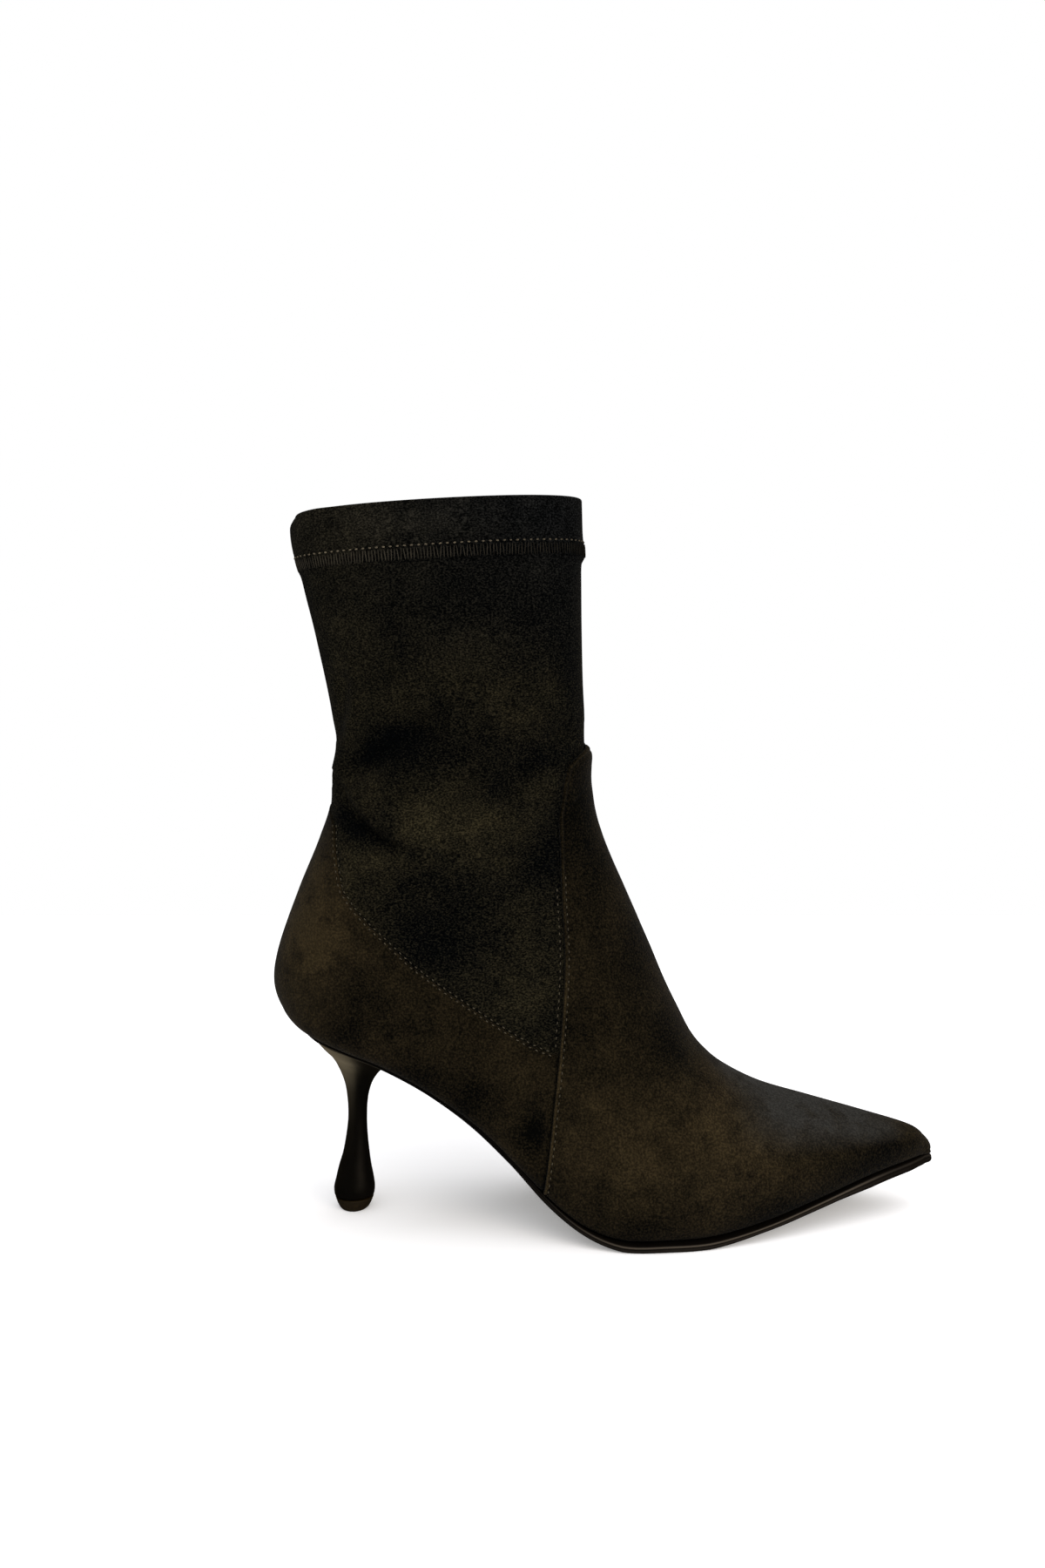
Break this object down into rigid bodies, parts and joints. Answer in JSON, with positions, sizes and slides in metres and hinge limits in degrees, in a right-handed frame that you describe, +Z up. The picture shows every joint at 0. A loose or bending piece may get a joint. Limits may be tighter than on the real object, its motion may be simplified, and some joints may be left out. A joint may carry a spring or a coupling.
{
  "type": "ankle boot",
  "caption": "Pointed ankle boot with a stretch sock shaft, turned hem, stitched vamp and counter panels, thin outsole and a slim lacquered drop heel with a top lift.",
  "frame": {"origin": "bottom centre of the boot's box, on the floor between the forefoot tread and the top lift", "axes": "+X to the toe, +Y to the inner side, +Z up"},
  "size_m": [0.2502, 0.0792, 0.2694],
  "materials": {
    "stretch_suede": "black stretch suede with a short nap",
    "panel_suede": "black suede with a short nap",
    "sole_leather": "smooth black sole leather with a polished edge",
    "insole_leather": "smooth dark lining leather",
    "heel_lacquer": "glossy black lacquer",
    "lift_rubber": "hard black rubber"
  },
  "bodies": {
    "root": {"upper": "stretch_suede", "vamp": "panel_suede", "counter": "panel_suede", "outsole": "sole_leather", "insole": "insole_leather", "heel": "heel_lacquer", "top_lift": "lift_rubber"}
  },
  "joints": []
}
